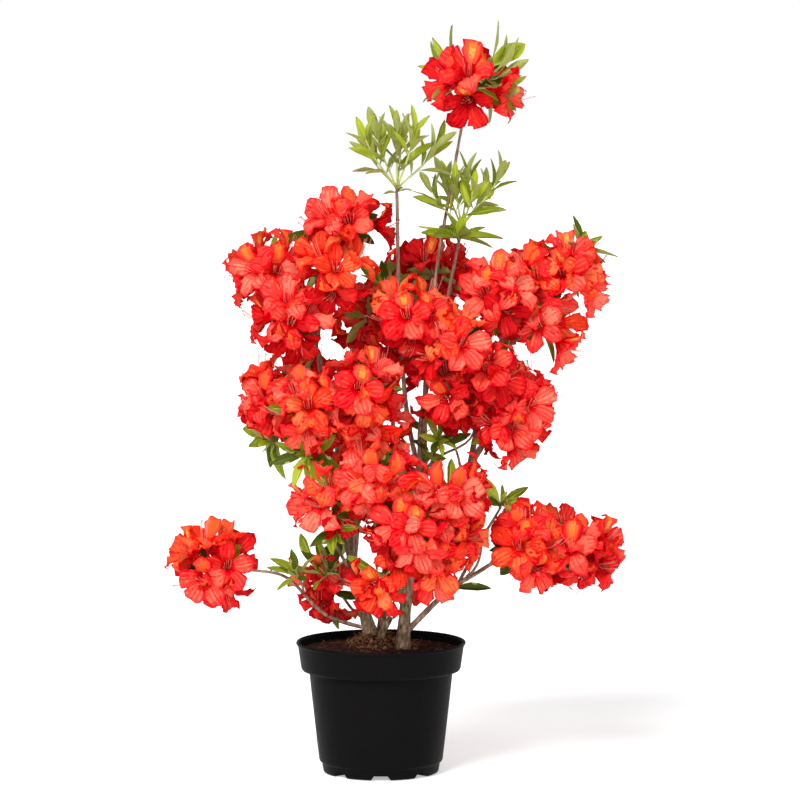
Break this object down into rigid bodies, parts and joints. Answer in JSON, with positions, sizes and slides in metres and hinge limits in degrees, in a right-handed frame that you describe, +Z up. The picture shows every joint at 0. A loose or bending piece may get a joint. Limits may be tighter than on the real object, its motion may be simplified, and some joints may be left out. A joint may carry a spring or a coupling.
{
  "type": "azalea shrub in a pot",
  "caption": "Deciduous azalea in flower: slender woody stems, heads of funnel-shaped flame-red flowers and young green leaves, growing in a round black nursery pot.",
  "frame": {"origin": "middle of the pot's flat underside, on the surface it stands on", "axes": "+Z up, -Y towards the shrub's front, +X to the right of the front view"},
  "size_m": [0.5118, 0.3238, 0.8362],
  "materials": {
    "pot": "black injection-moulded polypropylene, satin, thinly dusted with compost",
    "soil": "dark red-brown fibrous potting compost, moist and matt",
    "bark": "grey-brown bark with fine lengthwise ridges",
    "twig": "thin reddish grey-brown bark of young boughs",
    "blossom": "thin matt flame-red petals, translucent, with an orange blotch on the upper lobe",
    "foliage": "soft fresh green leaves, slightly glossy above, paler beneath"
  },
  "bodies": {
    "root": {"stem_left": "bark", "stem_right": "bark", "stem_back": "bark", "stem_stub": "bark", "pot": "pot", "soil": "soil", "bough_top": "twig", "bough_shoot_upper_left": "twig", "bough_shoot_upper_right": "twig", "bough_upper_left": "twig", "bough_centre": "twig", "bough_right": "twig", "bough_left": "twig", "bough_centre_left": "twig", "bough_front": "twig", "bough_front_left": "twig", "bough_low_left": "twig", "bough_far_left": "twig", "bough_shoot_low_left": "twig", "bough_far_right": "twig", "bough_shoot_right": "twig", "bough_shoot_centre": "twig", "bough_back_upper": "twig", "bough_back_left": "twig", "bough_back_right": "twig", "bough_back_low": "twig", "bough_upper_right": "twig", "trusses_top": "blossom", "shoot_upper_left": "foliage", "shoot_upper_right": "foliage", "trusses_upper_left": "blossom", "trusses_upper_right": "blossom", "trusses_centre": "blossom", "trusses_right": "blossom", "trusses_left": "blossom", "trusses_centre_left": "blossom", "trusses_front": "blossom", "trusses_front_left": "blossom", "trusses_low_left": "blossom", "trusses_far_left": "blossom", "shoot_low_left": "foliage", "trusses_far_right": "blossom", "shoot_right": "foliage", "shoot_centre": "foliage", "trusses_back_upper": "blossom", "trusses_back_left": "blossom", "trusses_back_right": "blossom", "trusses_back_low": "blossom"}
  },
  "joints": []
}
